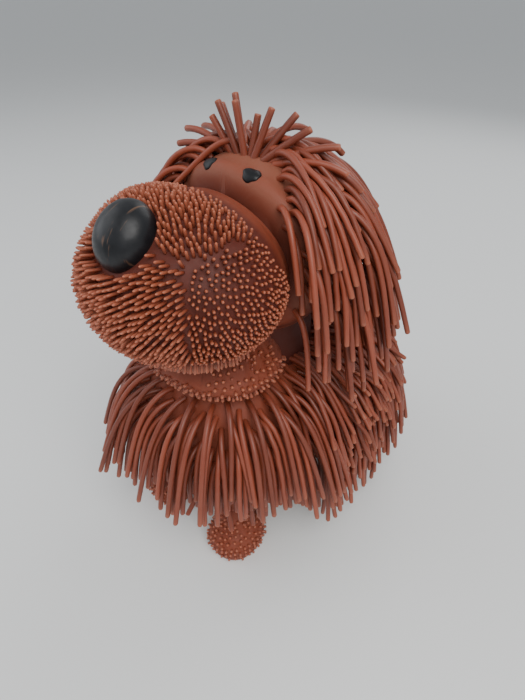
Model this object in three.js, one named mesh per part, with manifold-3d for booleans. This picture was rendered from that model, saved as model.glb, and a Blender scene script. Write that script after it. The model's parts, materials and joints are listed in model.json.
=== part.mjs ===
// A shaggy walking toy dog: a soft rubber skin with long strands over a geared plastic chassis.
// Millimetres, +Z up. The dog faces -Y and its left side is +X. The origin is on the floor,
// under the middle of the dog.
import * as THREE from "three";
import { mergeVertices } from "three/addons/utils/BufferGeometryUtils.js";
import Module from "manifold-3d";

const wasm = await Module();
wasm.setup();

// Driving dimensions
const gap = 0.4;   // between pieces that touch
const wall = 2;    // moulded plastic wall
const segments = 12;
const far = 300;   // longer than anything in the dog

const casing = {
  half: 30, front: -58, rear: 60, bottom: 34, neckTop: 82, top: 92, humpY: -20, round: 5,
};
const legs = { inner: 21.5, outer: 25.5, frontY: -48, hindY: 42, pivotZ: 56, linkArm: 12 };
const legHalf = 4.6;
const axleR = 1.5;
const crank = { y: 42, z: 76, throw: 3.5, pinR: 1.5, shaftR: 1.7, discR: 6 };
const slotPlay = 1.3;   // lets the crank pin run in the straight slot of the leg
const toothed = { module: 0.9, wheel: 24, pinion: 10, face: 3, play: 0.25, spread: 0.12 };
const planes = [-6.5, -2.5, 1.5];   // left edge of each gear plane, from the crank to the motor
const chainAngles = [185, 175, 185];   // from each shaft to the next, towards the motor
const plate = { x: 7.4, thick: 1.6, front: -17, rear: 57, bottom: 58.5, top: 89 };
const neck = { y: -28, shaftR: 4, bottom: 68, top: 138, armX: 12, armR: 1.6 };
const yoke = { x: 10.4, thick: 3.2, z: 76, camR: 5, camThrow: 2.4, play: 0.75 };
const cell = { radius: 5.25, length: 43.3, nub: 1, pitch: 11.3, z: 44.4, count: 3 };
const tray = { front: -25, rear: 29, bottom: 36.6, top: 51.6, half: 18.6, wall: 1.2 };
const paw = { x: 26, shift: -2, width: 14, length: 17, height: 15, centreZ: 5, ankleR: 9, ankleTop: 31 };
const muzzle = { y: -46.5, z: 155, rx: 45, ry: 43, rz: 37 };
const cranium = { y: -14, z: 156, rx: 42, ry: 34, rz: 40 };
const jaw = { y: -43, z: 116, rx: 32, ry: 30, rz: 12 };
const nose = { y: -73, z: 180, rx: 11, ry: 11, rz: 12.5 };
const skull = { y: -28, z: 150, rx: 27, ry: 33, rz: 27, hole: 9 };
const coat = { halfWidth: 61, halfLength: 90, hem: 8, top: 104 };
const tuft = { y: -10, top: 212, bottom: 184, rx: 27, ry: 22, rz: 18 };
const fringe = { x: 42, y: 2, z: 152, rx: 18, ry: 26, rz: 42, inner: 31 };
const board = { half: 17, front: -24, rear: 26, bottom: 53.2, thick: 1.4 };
const chips = [[-5, 5, -16, -6, 2.4], [-13, -8, 4, 14, 2], [7, 12, 2, 10, 2]];   // X, X, Y, Y, height
const speaker = { z: 58, rimR: 13, coneR: 9.5, magnetR: 7, holeR: 1.4 };
const slide = { y: 50, bodyHalf: 7, bodyBottom: 37.4, bodyTop: 43, knobLeft: -3.8, knobRight: -0.8 };
const foot = { halfX: 7, halfY: 10, bottom: 4, top: 9 };
const link = { half: 1.8, eyeR: 2.6, pinR: 1.4, thick: 1.4 };
const disc = { inner: 16.5, outer: 20.5, boreEnd: 19.8 };

// Colours: [colour, roughness, metalness]
const finishes = {
  rubber: [0xa05842, 0.5, 0],
  darkRubber: [0x7a3c2e, 0.55, 0],
  white: [0xe6e4dd, 0.45, 0],
  grey: [0x8e9296, 0.5, 0],
  black: [0x222326, 0.5, 0],
  board: [0x1d6b3a, 0.4, 0],
  steel: [0xb9bcc0, 0.3, 1],
  brass: [0xc7a254, 0.35, 1],
  cellWrap: [0x3a5f9a, 0.4, 0.2],
};

// A three.js geometry as a solid that can be joined and cut
function solid(geometry) {
  const bare = geometry.clone();
  bare.deleteAttribute("normal");
  bare.deleteAttribute("uv");
  const merged = mergeVertices(bare, 1e-4);
  const vertProperties = Float32Array.from(merged.attributes.position.array);
  const triVerts = Uint32Array.from(merged.index.array);
  return new wasm.Manifold(new wasm.Mesh({ numProp: 3, vertProperties, triVerts }));
}

function geometryOf(body) {
  const mesh = body.getMesh();
  const geometry = new THREE.BufferGeometry();
  geometry.setAttribute("position", new THREE.BufferAttribute(mesh.vertProperties, 3));
  geometry.setIndex(new THREE.BufferAttribute(mesh.triVerts, 1));
  geometry.computeVertexNormals();
  return geometry;
}

const join = (...bodies) => bodies.reduce((a, b) => a.add(b));

// A box between two corners
function box(x0, x1, y0, y1, z0, z1) {
  const geometry = new THREE.BoxGeometry(x1 - x0, y1 - y0, z1 - z0);
  geometry.translate((x0 + x1) / 2, (y0 + y1) / 2, (z0 + z1) / 2);
  return solid(geometry);
}

// A round bar along one axis, from low to high; a and b place it on the other two axes in X, Y, Z order
function bar(axis, radius, low, high, a, b, sides = segments) {
  const geometry = new THREE.CylinderGeometry(radius, radius, high - low, sides);
  const middle = (low + high) / 2;
  if (axis === "x") geometry.rotateZ(Math.PI / 2).translate(middle, a, b);
  if (axis === "y") geometry.translate(a, middle, b);
  if (axis === "z") geometry.rotateX(Math.PI / 2).translate(a, b, middle);
  return solid(geometry);
}

function ellipsoid(shape, grow = 0, around = 20, down = 12) {
  const geometry = new THREE.SphereGeometry(1, around, down);
  geometry.rotateX(Math.PI / 2);
  geometry.scale(shape.rx + grow, shape.ry + grow, shape.rz + grow);
  geometry.translate(shape.x ?? 0, shape.y, shape.z);
  return solid(geometry);
}

// An outline in the Y-Z plane, drawn out along X
function alongX(outline, x0, x1, settings = { bevelEnabled: false }) {
  const bevel = settings.bevelThickness ?? 0;
  const depth = x1 - x0 - 2 * bevel;
  const geometry = new THREE.ExtrudeGeometry(outline, { depth, curveSegments: 3, ...settings });
  geometry.translate(0, 0, x0 + bevel);
  const y = new THREE.Vector3(0, 1, 0);
  const z = new THREE.Vector3(0, 0, 1);
  const x = new THREE.Vector3(1, 0, 0);
  geometry.applyMatrix4(new THREE.Matrix4().makeBasis(y, z, x));
  return solid(geometry);
}

const dog = new THREE.Group();

function add(name, body, finish) {
  const [color, roughness, metalness] = finishes[finish];
  const material = new THREE.MeshStandardMaterial({ color, roughness, metalness });
  const mesh = new THREE.Mesh(geometryOf(body), material);
  mesh.name = name;
  dog.add(mesh);
}

const sides = [["left", 1], ["right", -1]];
const ends = [["front", legs.frontY], ["hind", legs.hindY]];

// Casing: two halves of a rounded shell with a low front deck for the neck and a hump for the gears
function casingBlock(inset) {
  const c = casing;
  const outline = new THREE.Shape();
  outline.moveTo(c.front + 12, c.bottom);
  outline.lineTo(c.rear - 12, c.bottom);
  outline.quadraticCurveTo(c.rear, c.bottom, c.rear, c.bottom + 12);
  outline.lineTo(c.rear, c.top - 12);
  outline.quadraticCurveTo(c.rear, c.top, c.rear - 12, c.top);
  outline.lineTo(c.humpY + 14, c.top);
  outline.lineTo(c.humpY, c.neckTop);
  outline.lineTo(c.front + 12, c.neckTop);
  outline.quadraticCurveTo(c.front, c.neckTop, c.front, c.neckTop - 12);
  outline.lineTo(c.front, c.bottom + 12);
  outline.quadraticCurveTo(c.front, c.bottom, c.front + 12, c.bottom);
  return alongX(outline, -c.half + inset, c.half - inset, {
    bevelThickness: c.round, bevelSize: c.round, bevelOffset: -c.round - inset, bevelSegments: 2,
  });
}

const bosses = [[-34, 43.5], [-37.5, 76.8], [-21, 62], [54.2, 50]];
const screw = { headR: 2.5, headLength: 1.8, shankR: 1.1, bossR: 3.6 };
const doorLength = 8.6;   // of the tongue that the door screw holds

function makeCasing() {
  let shell = casingBlock(0).subtract(casingBlock(wall));
  for (const [y, z] of bosses) {
    const bossBar = bar("x", screw.bossR, -casing.half + 1, casing.half - 1, y, z);
    shell = shell.add(bossBar.intersect(casingBlock(0.5)));
  }
  for (const [, end] of ends) {
    const bearing = bar("x", 3.4, -casing.half + 1, casing.half - 1, end, legs.pivotZ);
    const middle = box(-26.2, 26.2, end - 9, end + 9, legs.pivotZ - 9, legs.pivotZ + 9);
    shell = shell.add(bearing.subtract(middle));
    shell = shell.subtract(bar("x", axleR + gap, -casing.half + 1, casing.half - 1, end, legs.pivotZ));
    for (const [, side] of sides) {
      const x0 = side > 0 ? legs.inner - 1 : -legs.outer - 1;
      shell = shell.subtract(box(x0, x0 + 6, end - 14, end + 13, casing.bottom - 5, casing.bottom + 18));
    }
  }
  for (const [y, z] of bosses) {
    shell = shell.subtract(bar("x", screw.shankR + gap, -far, 14, y, z));
    shell = shell.subtract(bar("x", screw.headR + gap, -far, -casing.half + 4, y, z));
  }
  const door = box(-16.4, 16.4, tray.front + 2, tray.rear - 2, casing.bottom - 5, tray.bottom);
  const tongue = box(-5, 5, tray.rear - 3, tray.rear + doorLength, casing.bottom - 5, tray.bottom);
  const knobSlot = box(-5, 5, slide.y - 2, slide.y + 2, casing.bottom - 5, casing.bottom + 5);
  shell = shell.subtract(door).subtract(tongue).subtract(knobSlot);
  shell = shell.subtract(bar("z", neck.shaftR + 0.6, casing.neckTop - 8, casing.neckTop + 8, 0, neck.y));
  for (let hole = 0; hole < 7; hole++) {   // speaker holes: one in the middle of a ring of six
    const reach = hole ? 6 : 0;
    const x = reach * Math.cos(hole * Math.PI / 3);
    const z = speaker.z + reach * Math.sin(hole * Math.PI / 3);
    shell = shell.subtract(bar("y", speaker.holeR, casing.front - 5, casing.front + 5, x, z, 6));
  }
  const half = far / 2;
  add("casing_left", shell.intersect(box(gap / 2, half, -half, half, -half, half)), "white");
  add("casing_right", shell.intersect(box(-half, -gap / 2, -half, half, -half, half)), "white");
  bosses.forEach(([y, z], index) => {
    const x = -casing.half + 4 - gap;
    const head = bar("x", screw.headR, x - screw.headLength, x, y, z);
    const shank = bar("x", screw.shankR, x - 1, 13, y, z, 8);
    add(`casing_screw_${index + 1}`, head.add(shank), "steel");
  });
}

// Battery compartment in the belly
function makeBatteryBay() {
  const t = tray;
  const outer = box(-t.half, t.half, t.front, t.rear, t.bottom, t.top);
  const lid = box(-5.5, 5.5, t.rear - 1, t.rear + doorLength, t.bottom, t.bottom + 10);
  const inner = box(-t.half + t.wall, t.half - t.wall, t.front + t.wall, t.rear - t.wall,
    t.bottom - 5, t.top - t.wall);
  const lugHole = bar("z", screw.shankR + gap, t.bottom - 5, t.bottom + 8, 0, t.rear + 4);
  add("battery_tray", outer.add(lid).subtract(inner).subtract(lugHole), "white");

  const doorTop = t.bottom - gap;
  const panel = box(-16, 16, t.front + 2 + gap, t.rear - 2 - gap, casing.bottom, doorTop);
  const tongue = box(-5 + gap, 5 - gap, t.rear - 3, t.rear + doorLength - gap, casing.bottom, doorTop);
  const hole = bar("z", screw.shankR + gap, 0, far, 0, t.rear + 4);
  const sink = bar("z", screw.headR + gap, 0, casing.bottom + 1.2, 0, t.rear + 4);
  add("battery_door", panel.add(tongue).subtract(hole).subtract(sink), "white");
  const head = bar("z", screw.headR, casing.bottom - 0.4, casing.bottom + 0.8, 0, t.rear + 4);
  add("door_screw", head.add(bar("z", screw.shankR, casing.bottom, 43, 0, t.rear + 4, 8)), "steel");

  const low = t.front + t.wall + 0.3;
  const high = t.rear - t.wall - 0.3;
  add("contact_front", box(-t.half + 2, t.half - 2, low, low + 0.5, 38.6, 49.6), "steel");
  add("contact_rear", box(-t.half + 2, t.half - 2, high - 0.5, high, 38.6, 49.6), "steel");
  for (let index = 0; index < cell.count; index++) {
    const x = (index - 1) * cell.pitch;
    const flip = index % 2 ? -1 : 1;   // every other cell points the other way
    const nubEnd = flip > 0 ? high - 0.8 : low + 0.8;
    const shoulder = nubEnd - flip * cell.nub;
    const base = shoulder - flip * cell.length;
    const can = bar("y", cell.radius, Math.min(shoulder, base), Math.max(shoulder, base), x, cell.z);
    const nubStart = shoulder - flip;
    const nub = bar("y", 1.9, Math.min(nubStart, nubEnd), Math.max(nubStart, nubEnd), x, cell.z);
    add(`battery_${index + 1}`, can.add(nub), "cellWrap");
    const plateFace = flip > 0 ? low + 0.8 : high - 0.8;
    add(`contact_spring_${index + 1}`, coilSpring(x, plateFace, base - flip * gap), "steel");
  }
}

// A conical wire spring along Y
function coilSpring(x, from, to) {
  const turns = 2.5;
  const wireR = 0.35;
  const reach = to - from - 2 * wireR * Math.sign(to - from);
  class Helix extends THREE.Curve {
    getPoint(t, target = new THREE.Vector3()) {
      const angle = t * turns * 2 * Math.PI;
      const radius = 3.8 - 1.4 * t;
      const y = from + Math.sign(reach) * wireR + reach * t;
      return target.set(x + radius * Math.cos(angle), y, cell.z + radius * Math.sin(angle));
    }
  }
  const wire = new THREE.Shape();
  wire.absarc(0, 0, wireR, 0, 2 * Math.PI);
  const settings = { steps: 18, extrudePath: new Helix(), curveSegments: 3 };
  return solid(new THREE.ExtrudeGeometry(wire, settings));
}

// Board, speaker and switch
function makeElectronics() {
  const b = board;
  const face = b.bottom + b.thick;
  let sheet = box(-b.half, b.half, b.front, b.rear, b.bottom, face);
  for (const [x0, x1, y0, y1, height] of chips) {
    sheet = sheet.add(box(x0, x1, y0, y1, face - 0.6, face - 0.6 + height));
  }
  add("circuit_board", sheet, "board");
  const y = casing.front + wall + gap;
  const rim = bar("y", speaker.rimR, y, y + 1.2, 0, speaker.z, 20);
  const cone = bar("y", speaker.coneR, y + 1, y + 2.4, 0, speaker.z);
  const magnet = bar("y", speaker.magnetR, y + 1, y + 5, 0, speaker.z);
  add("speaker", join(rim, cone, magnet), "black");
  const half = slide.bodyHalf;
  const low = slide.y - half / 2;
  const high = slide.y + half / 2;
  add("switch_body", box(-half, half, low, high, slide.bodyBottom, slide.bodyTop), "black");
  const knobTop = slide.bodyBottom - gap;
  const knobLow = casing.bottom - 0.8;
  const knob = box(slide.knobLeft, slide.knobRight, slide.y - 1.5, slide.y + 1.5, knobLow, knobTop);
  add("switch_slider", knob, "black");
}

// Spur gear outline with involute-like flanks, centred on (y, z)
function gearShape(teeth, toothAngle, y, z) {
  const pitchR = toothed.module * teeth / 2;
  const baseR = pitchR * Math.cos(THREE.MathUtils.degToRad(20));
  const involute = (r) => {
    const a = Math.acos(Math.min(1, baseR / r));
    return Math.tan(a) - a;
  };
  const halfAtPitch = (Math.PI * toothed.module / 2 - toothed.play) / (2 * pitchR);
  const half = (r) => halfAtPitch + involute(pitchR) - involute(Math.max(r, baseR));
  const radii = [pitchR - 1.2 * toothed.module, pitchR + 0.85 * toothed.module];
  const points = [];
  for (let tooth = 0; tooth < teeth; tooth++) {
    const middle = toothAngle + tooth * 2 * Math.PI / teeth;
    for (const r of radii) points.push([r, middle - half(r)]);
    for (const r of [...radii].reverse()) points.push([r, middle + half(r)]);
  }
  return new THREE.Shape(points.map(([r, a]) => new THREE.Vector2(y + r * Math.cos(a), z + r * Math.sin(a))));
}

// Shaft centres from the crank to the motor
function gearCentres() {
  const distance = toothed.module * (toothed.wheel + toothed.pinion) / 2 + toothed.spread;
  const centres = [[crank.y, crank.z]];
  for (const degrees of chainAngles) {
    const [y, z] = centres[centres.length - 1];
    const angle = THREE.MathUtils.degToRad(degrees);
    centres.push([y + distance * Math.cos(angle), z + distance * Math.sin(angle)]);
  }
  return centres;
}

function makeGears() {
  const centres = gearCentres();
  const directions = chainAngles.map((degrees) => THREE.MathUtils.degToRad(degrees));
  const names = ["crank_wheel", "gear_2", "gear_1", "motor_pinion"];
  names.forEach((name, index) => {
    const [y, z] = centres[index];
    let body = null;
    if (index < 3) {   // the wheel has a tooth towards the next shaft
      const x = planes[index];
      body = alongX(gearShape(toothed.wheel, directions[index], y, z), x, x + toothed.face);
    }
    if (index > 0) {   // the pinion has a space towards the shaft before it
      const x = planes[index - 1];
      const back = directions[index - 1] + Math.PI + Math.PI / toothed.pinion;
      const top = index < 3 ? planes[index] + 1 : x + toothed.face + 0.4;
      const pinion = alongX(gearShape(toothed.pinion, back, y, z), x - 0.4, top);
      body = body ? body.add(pinion) : pinion;
    }
    const boreR = index === 0 ? crank.shaftR : index === 3 ? 1 : axleR;
    body = body.subtract(bar("x", boreR + gap, -far / 2, far / 2, y, z));
    add(name, body, index === 3 ? "brass" : "white");
    if (index === 1 || index === 2) {
      add(`${name}_pin`, bar("x", axleR, -plate.x - 1, plate.x + 1, y, z), "steel");
    }
  });
}

function makeGearbox() {
  const centres = gearCentres();
  const p = plate;
  const pillars = [[-13, 63], [19.5, 60.8], [54.4, 62]];
  const shaftHoles = [crank.shaftR, axleR, axleR, 2.6];
  for (const [name, side] of sides) {
    const x0 = side > 0 ? p.x : -p.x - p.thick;
    let sheet = box(x0, x0 + p.thick, p.front, p.rear, p.bottom, p.top);
    sheet = sheet.subtract(box(x0 - 1, x0 + 3, p.front - 1, -4, 78.2, p.top + 1));
    sheet = sheet.subtract(box(x0 - 1, x0 + 3, p.rear - 7, p.rear + 1, p.top - 7, p.top + 1));
    if (side > 0) {
      for (const [y, z] of pillars) sheet = sheet.add(bar("x", 1.8, -p.x + gap, p.x + 1, y, z));
    }
    centres.forEach(([y, z], index) => {
      const blind = index === 1 || index === 2;   // pins end inside the plates
      const low = blind && side < 0 ? -p.x - 1 - gap : blind ? 0 : -far / 2;
      const high = blind && side > 0 ? p.x + 1 + gap : blind ? 0 : far / 2;
      const hole = bar("x", shaftHoles[index] + gap, low, high, y, z);
      if (side > 0 || index < 3) sheet = sheet.subtract(hole);
    });
    add(`gearbox_plate_${name}`, sheet, "grey");
  }
  const [y, z] = centres[3];
  const x = p.x + p.thick + gap;
  const can = bar("x", 10, x, 25, y, z, 20).intersect(box(0, 40, y - 20, y + 20, z - 7.6, z + 7.6));
  const boss = bar("x", 2.4, x - 1.4, x + 1, y, z);
  add("motor", can.add(boss).add(bar("x", 1, planes[2], x, y, z, 10)), "steel");
}

// Crank shaft with a pin at each end for the hind legs and an eccentric for the neck yoke
function makeCrank() {
  const { y, z, throw: reach, pinR, shaftR, discR } = crank;
  const shaft = bar("x", shaftR, -19.5, 19.5, y, z);
  add("crank_shaft", shaft, "steel");
  const between = (radius, a, b, height) => bar("x", radius, Math.min(a, b), Math.max(a, b), y, height);
  for (const [name, side] of sides) {
    const inner = side * disc.inner;
    const outer = side * disc.outer;
    const wheel = between(discR, inner, outer, z);
    const pin = between(pinR, outer - side, side * (legs.outer + gap), z + side * reach);
    const bore = between(shaftR + gap, inner - side, side * disc.boreEnd, z);
    add(`crank_disc_${name}`, wheel.subtract(bore).add(pin), "grey");
  }
  const cam = bar("x", yoke.camR, -yoke.x - yoke.thick, -yoke.x, y, z + yoke.camThrow, 20);
  add("neck_cam", cam.subtract(bar("x", shaftR + gap, -far / 2, 0, y, z)), "grey");
}

// Four legs on two axles; the two on one side are tied by a link and swing together
function makeLegs() {
  for (const [end, y] of ends) {
    add(`${end}_axle`, bar("x", axleR, -casing.half + 1.4, casing.half - 1.4, y, legs.pivotZ), "steel");
    for (const [name, side] of sides) {
      const [x0, x1] = side > 0 ? [legs.inner, legs.outer] : [-legs.outer, -legs.inner];
      const pivot = legs.pivotZ;
      const linkZ = pivot + legs.linkArm;
      const hind = end === "hind";
      const slotZ = crank.z - pivot;
      const top = hind ? pivot + slotZ + crank.throw + crank.pinR + 3 : linkZ + 1.7;
      let leg = box(x0, x1, y - legHalf, y + legHalf, 8, top);
      leg = leg.add(bar("x", 6, x0, x1, y, pivot));
      const pawY = y + paw.shift;
      const footX = side * paw.x;
      leg = leg.add(footPlate(footX, pawY, 0));
      const pinLow = side > 0 ? x1 - 1 : x0 - 2.3;
      leg = leg.add(bar("x", link.pinR, pinLow, pinLow + 3.3, y, linkZ, 12));
      leg = leg.subtract(bar("x", axleR + gap, x0 - 1, x1 + 1, y, pivot));
      if (hind) {
        const halfSlot = crank.pinR + slotPlay;
        const halfHeight = crank.throw + crank.pinR + 0.7;
        const low = crank.z - halfHeight;
        leg = leg.subtract(box(x0 - 1, x1 + 1, y - halfSlot, y + halfSlot, low, crank.z + halfHeight));
      }
      add(`leg_${end}_${name}`, leg, "grey");
      add(`paw_skin_${end}_${name}`, pawSkin(footX, pawY, x0, x1, y), "rubber");
    }
  }
  for (const [name, side] of sides) {
    const near = legs.outer + gap;
    const [x0, x1] = side > 0 ? [near, near + link.thick] : [-near - link.thick, -near];
    const z = legs.pivotZ + legs.linkArm;
    let rod = box(x0, x1, legs.frontY, legs.hindY, z - link.half, z + link.half);
    for (const [, y] of ends) rod = rod.add(bar("x", link.eyeR, x0, x1, y, z));
    for (const [, y] of ends) rod = rod.subtract(bar("x", link.pinR + gap, x0 - 1, x1 + 1, y, z, 12));
    add(`leg_link_${name}`, rod, "grey");
  }
}

function footPlate(x, y, grow) {
  const { halfX, halfY, bottom, top } = foot;
  const [reachX, reachY] = [halfX + grow, halfY + grow];
  return box(x - reachX, x + reachX, y - reachY, y + reachY, bottom - grow, top + grow);
}

// Soft boot over the foot, flat underneath
function pawSkin(x, y, legLow, legHigh, legY) {
  const shape = { x, y, z: paw.centreZ, rx: paw.width, ry: paw.length, rz: paw.height };
  const ankle = bar("z", paw.ankleR, 8, paw.ankleTop, x - Math.sign(x) * 2, legY, 12);
  const boot = ellipsoid(shape, 0, 16, 10).add(ankle).intersect(box(-far, far, -far, far, 0, far));
  const shank = box(legLow - gap, legHigh + gap, legY - legHalf - gap, legY + legHalf + gap, 6, far);
  return boot.subtract(footPlate(x, y, gap)).subtract(shank);
}

// Neck shaft, turned from side to side by the yoke that the crank's eccentric slides
function makeNeck() {
  const n = neck;
  const shaft = bar("z", n.shaftR, n.bottom + 4, n.top, 0, n.y);
  const collar = bar("z", 7, casing.neckTop + gap, casing.neckTop + 2.4, 0, n.y);
  const arm = box(-n.armX - 2.4, 0, n.y - 2.6, n.y + 2.6, 74.6, 78);
  const flange = box(-10, 10, n.y - 10, n.y + 10, n.top - 4, n.top);
  const pin = bar("z", n.armR, 67, 76, -n.armX, n.y, 12);
  add("neck_shaft", join(shaft, collar, arm, flange, pin), "grey");

  const x0 = -yoke.x - yoke.thick;
  const x1 = -yoke.x;
  const slotY = yoke.camR + yoke.play;
  const slotZ = yoke.camR + yoke.camThrow + yoke.play;
  const slot = (grow, side) => box(x0 - side, x1 + side, crank.y - slotY - grow, crank.y + slotY + grow,
    crank.z - slotZ - grow, crank.z + slotZ + grow);
  let frame = slot(2.5, 0).add(box(x0, x1, n.y, crank.y - slotY, 69, 72.4));
  frame = frame.add(bar("z", 4.6, 69, 72.4, -n.armX, n.y));
  frame = frame.subtract(slot(0, 1));
  frame = frame.subtract(bar("z", n.armR + 0.7, 60, 74, -n.armX, n.y, 12));
  add("neck_yoke", frame, "grey");
}

// Head: a plastic skull in two halves under a thick soft skin
function makeHead() {
  const outer = ellipsoid(skull, 0, 16, 10);
  const inner = ellipsoid(skull, -wall, 16, 10);
  const hole = box(-10.6, 10.6, neck.y - 10.6, neck.y + 10.6, 0, skull.z - 8);
  const half = far / 2;
  const head = outer.subtract(inner).subtract(hole);
  const screwZ = skull.z + 12;
  const seat = -16;
  const cross = bar("x", 3.6, -far, far, skull.y, screwZ).intersect(ellipsoid(skull, -1, 16, 10));
  const bore = bar("x", screw.shankR + gap, -far, 8, skull.y, screwZ);
  const sink = bar("x", screw.headR + gap, -far, seat, skull.y, screwZ);
  const bossed = head.add(cross).subtract(bore).subtract(sink);
  add("skull_left", bossed.intersect(box(gap / 2, half, -half, half, 0, far)), "white");
  add("skull_right", bossed.intersect(box(-half, -gap / 2, -half, half, 0, far)), "white");
  const under = seat - gap;
  const screwHead = bar("x", screw.headR, under - screw.headLength, under, skull.y, screwZ);
  const shank = bar("x", screw.shankR, under - 1, 7, skull.y, screwZ, 8);
  add("skull_screw", screwHead.add(shank), "steel");

  const skin = join(ellipsoid(muzzle), ellipsoid(cranium), ellipsoid(jaw), ellipsoid(nose, 0, 16, 10));
  const cavity = ellipsoid(skull, gap + 0.6, 16, 10);
  const throat = bar("z", 16, 0, skull.z - 10, 0, neck.y, 20);
  add("head_skin", skin.subtract(cavity).subtract(throat), "rubber");

  const grown = join(ellipsoid(muzzle, 1), ellipsoid(cranium, 1), ellipsoid(nose, 1, 16, 10));
  const dome = ellipsoid({ ...tuft, z: tuft.top - tuft.rz }, 0, 16, 10);
  const above = box(-far, far, -far, far, tuft.bottom, far);
  add("crown_tuft", dome.intersect(above).subtract(grown), "rubber");
  for (const [name, side] of sides) {
    const ear = ellipsoid({ ...fringe, x: side * fringe.x }, 0, 16, 10);
    const inner = fringe.inner;
    const outside = side > 0 ? box(inner, far, -far, far, 0, far) : box(-far, -inner, -far, far, 0, far);
    add(`ear_fringe_${name}`, ear.intersect(outside).subtract(grown), "darkRubber");
  }
}

// An outline between a circle and a square, standing on the X-Y plane and drawn up along Z
function column(halfX, halfY, y, squareness, low, high, settings = { bevelEnabled: false }) {
  const bevel = settings.bevelThickness ?? 0;
  const bend = (v) => Math.sign(v) * Math.abs(v) ** (2 / squareness);
  const outline = new THREE.Shape();
  for (let index = 0; index < 24; index++) {
    const angle = index * Math.PI / 12;
    const point = [halfX * bend(Math.cos(angle)), y + halfY * bend(Math.sin(angle))];
    if (index === 0) outline.moveTo(...point);
    else outline.lineTo(...point);
  }
  const depth = high - low - 2 * bevel;
  const geometry = new THREE.ExtrudeGeometry(outline, { depth, ...settings });
  geometry.translate(0, 0, low + bevel);
  return solid(geometry);
}

// Shaggy coat round the casing, open underneath for the legs and above for the neck
function makeCoat() {
  const c = coat;
  const shoulder = { bevelThickness: 55, bevelSize: 30, bevelOffset: -30, bevelSegments: 5 };
  let body = column(c.halfWidth, c.halfLength, 0, 2.6, -60, c.top, shoulder);
  body = body.intersect(box(-far, far, -far, far, c.hem, far));
  body = body.subtract(casingBlock(-0.7));
  body = body.subtract(column(45, 78.5, -4.5, 4, -10, 50));
  body = body.subtract(bar("z", 17, casing.neckTop - 5, far, 0, neck.y, 20));
  body = body.subtract(join(ellipsoid(muzzle, 6), ellipsoid(cranium, 4), ellipsoid(jaw, 6)));
  for (const [, side] of sides) {
    const room = { x: side * fringe.x, y: fringe.y, z: fringe.z, rx: 24, ry: 32, rz: 46 };
    body = body.subtract(ellipsoid(room, 0, 16, 10));
  }
  add("body_coat", body, "rubber");
}

makeCasing();
makeBatteryBay();
makeElectronics();
makeGears();
makeGearbox();
makeCrank();
makeLegs();
makeNeck();
makeHead();
makeCoat();

export default dog;
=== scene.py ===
import json
import math

import bpy
import numpy as np
from mathutils import Matrix, Vector


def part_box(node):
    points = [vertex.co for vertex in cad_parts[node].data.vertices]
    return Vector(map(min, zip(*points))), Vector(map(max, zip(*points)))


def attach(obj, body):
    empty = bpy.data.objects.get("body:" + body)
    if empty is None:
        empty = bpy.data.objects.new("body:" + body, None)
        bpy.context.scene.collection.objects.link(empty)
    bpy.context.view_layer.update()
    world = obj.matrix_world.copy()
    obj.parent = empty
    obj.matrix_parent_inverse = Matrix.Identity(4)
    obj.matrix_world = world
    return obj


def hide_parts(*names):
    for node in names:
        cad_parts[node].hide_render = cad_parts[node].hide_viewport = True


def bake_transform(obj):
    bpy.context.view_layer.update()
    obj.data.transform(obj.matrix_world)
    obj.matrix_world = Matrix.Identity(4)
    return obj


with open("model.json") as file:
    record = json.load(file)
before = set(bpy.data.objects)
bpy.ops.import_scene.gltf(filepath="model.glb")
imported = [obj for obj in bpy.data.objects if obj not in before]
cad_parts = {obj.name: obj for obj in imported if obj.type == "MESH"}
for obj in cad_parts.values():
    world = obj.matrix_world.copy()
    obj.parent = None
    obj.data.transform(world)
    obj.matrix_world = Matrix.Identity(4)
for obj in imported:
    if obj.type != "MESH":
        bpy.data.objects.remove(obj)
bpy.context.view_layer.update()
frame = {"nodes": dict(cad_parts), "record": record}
mm = 0.001


def nodeBox(node):   # lowest and highest corner in millimetres
    low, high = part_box(node)
    return np.array(low) / mm, np.array(high) / mm


headLow, headHigh = nodeBox("head_skin")
casingLow, casingHigh = nodeBox("casing_left")
print("frame loaded")

# body shapes, in millimetres, all placed from the frame
headMiddle = headLow[1] + 75.5   # between the muzzle and the back of the head
shapes = {
    "muzzle": {"centre": (0, headLow[1] + 43, headHigh[2] - 41), "radii": (41.5, 37.5, 32), "power": 2.0},
    "cranium": {"centre": (0, headLow[1] + 81.5, headHigh[2] - 41), "radii": (40, 34, 40), "power": 2.0},
    "jaw": {"centre": (0, headLow[1] + 53.5, headLow[2] + 8), "radii": (34, 27, 11), "power": 2.2},
    "chest": {"centre": (0, casingLow[1] + 32, 66), "radii": (40, 37, 41), "power": 3.0},
    "rump": {"centre": (0, casingHigh[1] - 32, 62), "radii": (41, 44, 38), "power": 3.0},
}
muzzleZ = shapes["muzzle"]["centre"][2]
jawZ = shapes["jaw"]["centre"][2]


def gap(points, shape):
    # distance outside a rounded shape, and the way out
    offset = points - np.array(shape["centre"])
    radii = np.array(shape["radii"])
    power = shape["power"]
    scaled = np.abs(offset / radii) + 1e-9
    size = (scaled ** power).sum(-1) ** (1 / power)
    out = np.sign(offset) * scaled ** (power - 1) / radii
    out /= np.linalg.norm(out, axis=-1, keepdims=True) + 1e-12
    reach = np.linalg.norm(offset, axis=-1)
    # a true distance lies between the radial one and its part along the surface normal
    slant = np.abs((offset * out).sum(-1)) / (reach + 1e-9)
    return reach * (1 - 1 / size) * slant, out


def softJoin(a, b, softness):
    part = np.clip(0.5 + 0.5 * (b - a) / softness, 0, 1)
    return b * (1 - part) + a * part - softness * part * (1 - part)


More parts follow.
